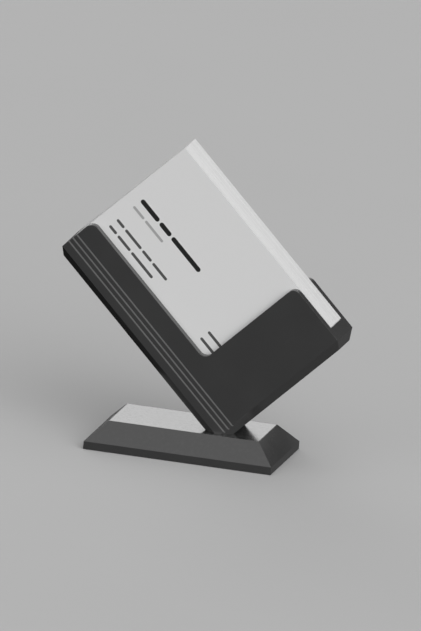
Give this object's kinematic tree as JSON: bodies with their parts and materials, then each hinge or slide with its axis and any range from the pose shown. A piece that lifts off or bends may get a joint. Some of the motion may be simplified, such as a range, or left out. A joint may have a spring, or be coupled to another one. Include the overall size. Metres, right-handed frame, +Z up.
{
  "type": "business card holder stand",
  "caption": "Card tray tilted on its corner and sunk in a bevelled desk plinth, with L-shaped walls, inlaid lines and a stack of cards that lift out.",
  "frame": {"origin": "middle of the pad's underside, on the desk", "axes": "+Z up, +X to the right along the plinth, towards the end that the cards lean on, +Y to the back, through the stack of cards"},
  "size_m": [0.1063, 0.0406, 0.1153],
  "materials": {
    "tray_plastic": "dark grey, finely grained, slight gloss",
    "plinth_plastic": "dark grey, finely grained, slight gloss",
    "plate_metal": "satin, fine brush marks along its length",
    "line_plastic": "mid grey inlay",
    "screw_steel": "zinc plated",
    "pad_rubber": "matt, non-slip",
    "card_paper": "smooth white card"
  },
  "bodies": {
    "stand": {"plinth": "plinth_plastic", "top_plate": "plate_metal", "holder_tray": "tray_plastic", "pinstripe_outer": "line_plastic", "pinstripe_middle": "line_plastic", "pinstripe_inner": "line_plastic", "fixing_screws": "screw_steel", "base_pad": "pad_rubber"},
    "taken_card": {"front_card": "card_paper"},
    "card_stack": {"card_deck": "card_paper"}
  },
  "joints": [
    {"name": "front_card_slide", "type": "slide", "parent": "stand", "child": "taken_card", "axis": [0.7071, 0, 0.7071], "range_m": [0, 0.056]},
    {"name": "card_deck_slide", "type": "slide", "parent": "stand", "child": "card_stack", "axis": [0.7071, 0, 0.7071], "range_m": [0, 0.056]}
  ]
}
